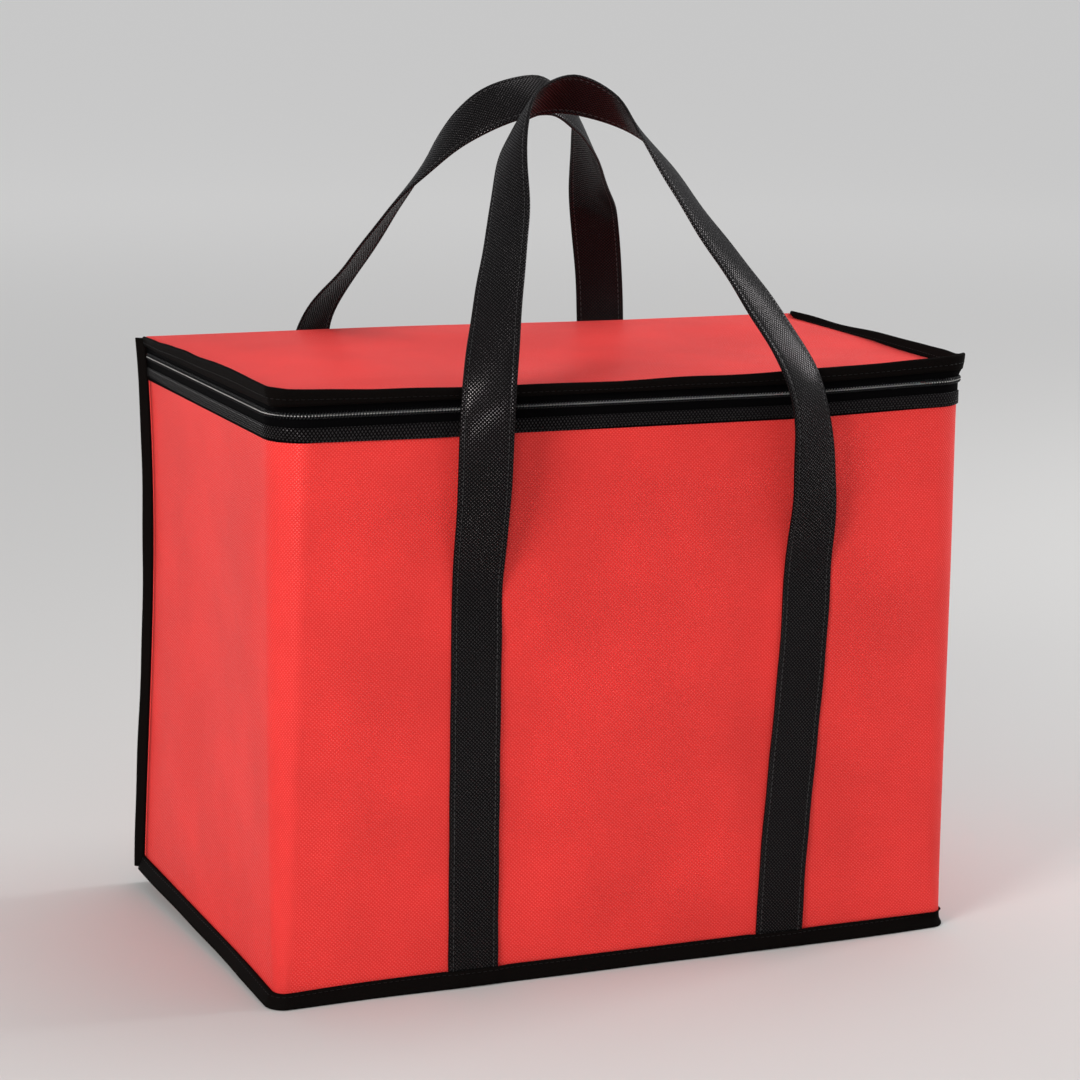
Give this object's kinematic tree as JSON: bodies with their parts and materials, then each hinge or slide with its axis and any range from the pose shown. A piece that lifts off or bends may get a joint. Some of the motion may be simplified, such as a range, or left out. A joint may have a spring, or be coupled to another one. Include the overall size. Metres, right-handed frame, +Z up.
{
  "type": "insulated lunch bag",
  "caption": "Zipped insulated tote of embossed fabric with padded foil-lined walls, a padded lid that folds back, and webbing handles sewn down the front and back.",
  "frame": {"origin": "middle of the underside, on the surface that the bag stands on", "axes": "+X to the bag's right seen from the front, -Y out of the front face, +Z up"},
  "size_m": [0.4261, 0.2876, 0.487],
  "materials": {
    "red_fabric": "coral-red non-woven fabric, finely embossed, soft sheen",
    "black_binding": "black folded binding tape, matt",
    "black_fabric": "black embossed non-woven fabric",
    "black_strap": "black embossed webbing with a stitched line along each edge",
    "zip_tape": "black woven zip tape",
    "zip_coil": "black nylon coil",
    "slider_enamel": "black enamelled die casting",
    "foam": "white closed-cell foam sheet",
    "foil_liner": "aluminium-faced film with soft creases",
    "stiffener": "grey base board"
  },
  "bodies": {
    "root": {"base_outer": "red_fabric", "base_board": "stiffener", "base_foam": "foam", "base_liner": "foil_liner", "wrap_outer": "red_fabric", "wrap_foam": "foam", "wrap_liner": "foil_liner", "back_outer": "red_fabric", "back_foam": "foam", "back_liner": "foil_liner", "bottom_binding": "black_binding", "back_left_binding": "black_binding", "back_right_binding": "black_binding", "mouth_band": "black_fabric", "zip_tape_lower": "zip_tape", "zip_coil_lower": "zip_coil", "front_strap_leg_left": "black_strap", "front_strap_leg_right": "black_strap", "back_strap_leg_left": "black_strap", "back_strap_leg_right": "black_strap"},
    "lid": {"lid_outer": "red_fabric", "lid_foam": "foam", "lid_liner": "foil_liner", "lid_binding": "black_binding", "zip_tape_upper": "zip_tape", "zip_coil_upper": "zip_coil"},
    "slider": {"zip_slider": "slider_enamel"},
    "puller": {"zip_puller": "slider_enamel"},
    "front_handle": {"front_handle": "black_strap"},
    "back_handle": {"back_handle": "black_strap"}
  },
  "joints": [
    {"name": "lid_hinge", "type": "hinge", "parent": "root", "child": "lid", "pos_m": [0, 0.115, 0.3287], "axis": [-1, 0, 0], "range_deg": [0, 150]},
    {"name": "front_handle_swing", "type": "hinge", "parent": "root", "child": "front_handle", "pos_m": [0.008, -0.1173, 0.22], "axis": [1, 0, 0], "range_deg": [0, 150]},
    {"name": "back_handle_swing", "type": "hinge", "parent": "root", "child": "back_handle", "pos_m": [-0.011, 0.1173, 0.22], "axis": [-1, 0, 0], "range_deg": [0, 150]},
    {"name": "zip_slide", "type": "slide", "parent": "root", "child": "slider", "axis": [0, -1, 0], "range_m": [0, 0.19]},
    {"name": "puller_swing", "type": "hinge", "parent": "slider", "child": "puller", "pos_m": [0.2122, 0.1045, 0.3175], "axis": [0, -1, 0], "range_deg": [0, 150]}
  ],
  "couplings": [
    {"joint": "front_handle_swing", "follows": "lid_hinge", "ratio": 1},
    {"joint": "back_handle_swing", "follows": "lid_hinge", "ratio": 1}
  ]
}
